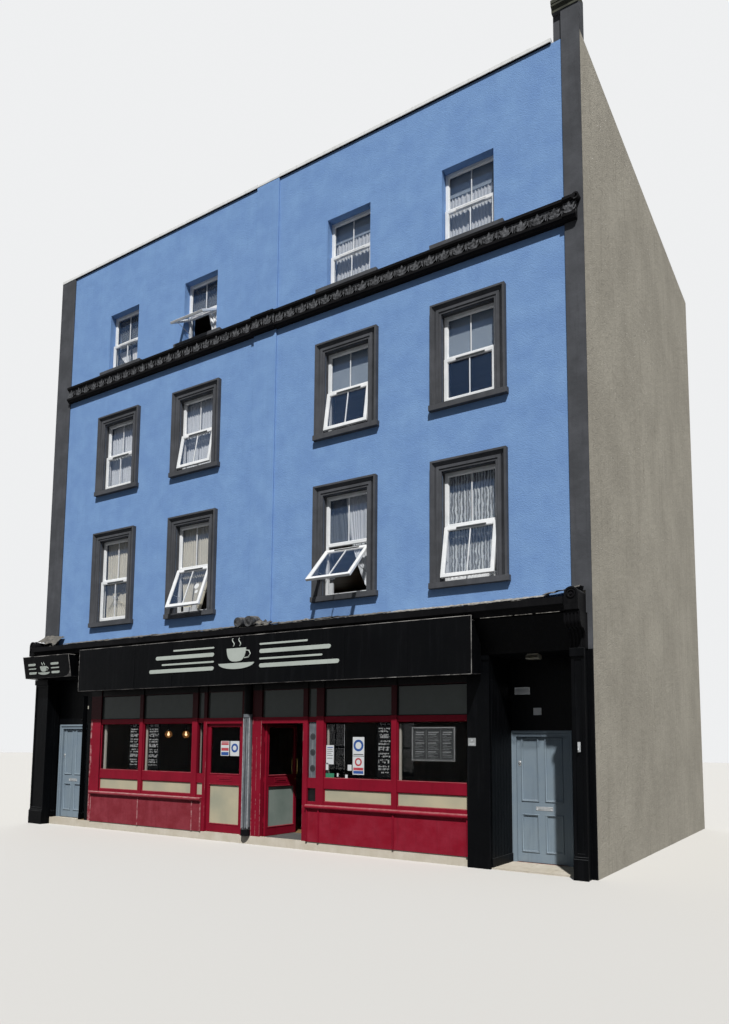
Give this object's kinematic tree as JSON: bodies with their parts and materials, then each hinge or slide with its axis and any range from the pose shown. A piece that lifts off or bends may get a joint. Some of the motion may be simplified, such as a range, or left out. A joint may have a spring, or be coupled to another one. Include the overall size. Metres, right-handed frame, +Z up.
{
  "type": "terraced house pair with shopfront",
  "caption": "Four-storey pair of rendered terraced houses with a timber shopfront, hinged entry doors, sash-like windows, string course and parapet.",
  "frame": {"origin": "pavement level under the middle of the walls' footprint", "axes": "+Z up, the street front faces -Y, +X runs to the right as seen from the street"},
  "size_m": [12.66, 9.705, 13.69],
  "materials": {
    "blue_render": "masonry paint on smooth render",
    "plain_render": "unpainted render",
    "grey_masonry_paint": "satin masonry paint",
    "black_stucco": "gloss paint on moulded stucco",
    "white_coping": "painted cement",
    "white_upvc": "extruded uPVC",
    "window_glass": "clear float glass",
    "frosted_glass": "obscured glass",
    "net_fabric": "net curtain",
    "timber_floor": "boarded",
    "roof_felt": "mineral felt",
    "black_joinery": "black gloss paint on timber",
    "maroon_joinery": "maroon gloss paint on timber",
    "grey_door_paint": "satin paint on timber",
    "grey_iron": "painted cast iron",
    "lamp_glass": "warm globe",
    "pale_plastic": "lamp cover",
    "case_metal": "satin"
  },
  "bodies": {
    "building": {"ground_floor": "timber_floor", "first_floor": "timber_floor", "second_floor": "timber_floor", "third_floor": "timber_floor", "roof_deck": "roof_felt", "front_wall": "blue_render", "left_party_wall": "plain_render", "right_party_wall": "plain_render", "back_wall": "plain_render", "back_window_frames": "white_upvc", "back_window_glass": "window_glass", "back_window_sills": "grey_masonry_paint", "centre_strip": "blue_render", "left_pilaster": "grey_masonry_paint", "right_pilaster": "grey_masonry_paint", "parapet_coping": "white_coping", "string_course": "black_stucco", "window_surrounds": "grey_masonry_paint", "third_floor_sills": "grey_masonry_paint", "window_frames": "white_upvc", "opening_sashes": "white_upvc", "window_glass": "window_glass", "net_curtains": "net_fabric", "shop_cornice": "black_joinery", "old_fascia": "black_joinery", "shop_sign": "black_joinery", "door_sign": "black_joinery", "cornice_consoles": "black_stucco", "shop_pilasters": "black_joinery", "shop_pier": "black_joinery", "left_entry_lining": "black_joinery", "right_entry_lining": "black_joinery", "left_bay_frame": "maroon_joinery", "right_bay_frame": "maroon_joinery", "cafe_door_frames": "maroon_joinery", "stallrisers": "maroon_joinery", "shop_glass": "window_glass", "frosted_panels": "frosted_glass", "iron_column": "grey_iron", "house_door_frames": "grey_door_paint", "pendant_lamps": "lamp_glass", "wall_lamps": "pale_plastic", "menu_case": "case_metal"},
    "left_house_leaf": {"left_house_door": "grey_door_paint"},
    "right_house_leaf": {"right_house_door": "grey_door_paint"},
    "left_cafe_leaf": {"left_cafe_door": "maroon_joinery", "left_cafe_door_glass": "window_glass"},
    "right_cafe_leaf": {"right_cafe_door": "maroon_joinery", "right_cafe_door_glass": "window_glass"}
  },
  "joints": [
    {"name": "left_house_door_hinge", "type": "hinge", "parent": "building", "child": "left_house_leaf", "pos_m": [-4.9775, -4.25576, 1], "axis": [0, 0, -1], "range_deg": [0, 95]},
    {"name": "right_house_door_hinge", "type": "hinge", "parent": "building", "child": "right_house_leaf", "pos_m": [5.6545, -3.55576, 1], "axis": [0, 0, -1], "range_deg": [0, 95]},
    {"name": "left_cafe_door_hinge", "type": "hinge", "parent": "building", "child": "left_cafe_leaf", "pos_m": [-1.1365, -4.40476, 1], "axis": [0, 0, 1], "range_deg": [0, 95]},
    {"name": "right_cafe_door_hinge", "type": "hinge", "parent": "building", "child": "right_cafe_leaf", "pos_m": [0.2435, -4.40476, 1], "axis": [0, 0, 1], "range_deg": [-90, 5]}
  ]
}
